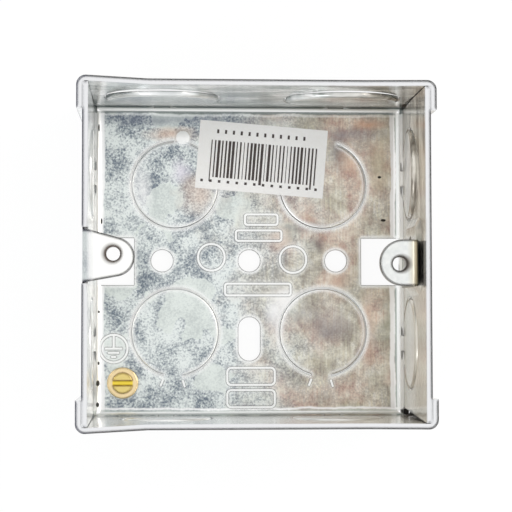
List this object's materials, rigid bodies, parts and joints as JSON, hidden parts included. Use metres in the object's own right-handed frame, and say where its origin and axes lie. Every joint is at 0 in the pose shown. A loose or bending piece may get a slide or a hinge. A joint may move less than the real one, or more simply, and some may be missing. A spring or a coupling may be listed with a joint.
{
  "type": "metal back box",
  "caption": "Folded galvanised steel back box for a wall socket or switch, with knock-outs, a fixed lug, a sliding lug and a brass earth screw.",
  "frame": {"origin": "centre of the back's outer face, which is also the middle of the foot of the bounding box", "axes": "+Z out of the back towards the open front, +X towards the wall with the sliding lug, +Y up when the box is set in a wall"},
  "size_m": [0.0758, 0.0746, 0.035],
  "materials": {
    "galvanised_sheet": "hot-dip galvanised, spangled",
    "zinc_plated_bracket": "bright zinc plated",
    "zinc_plated_rivet": "bright zinc plated",
    "brass": "turned brass",
    "label_paper": "matt white paper with plain printed bars"
  },
  "bodies": {
    "box": {"box_body": "galvanised_sheet", "earth_screw": "brass", "label": "label_paper"},
    "sliding_lug": {"adjustable_lug": "zinc_plated_bracket", "lug_rivet": "zinc_plated_rivet"}
  },
  "joints": [
    {"name": "lug_slide", "type": "slide", "parent": "box", "child": "sliding_lug", "axis": [0, 1, 0], "range_m": [-0.00125, 0.00475]}
  ]
}
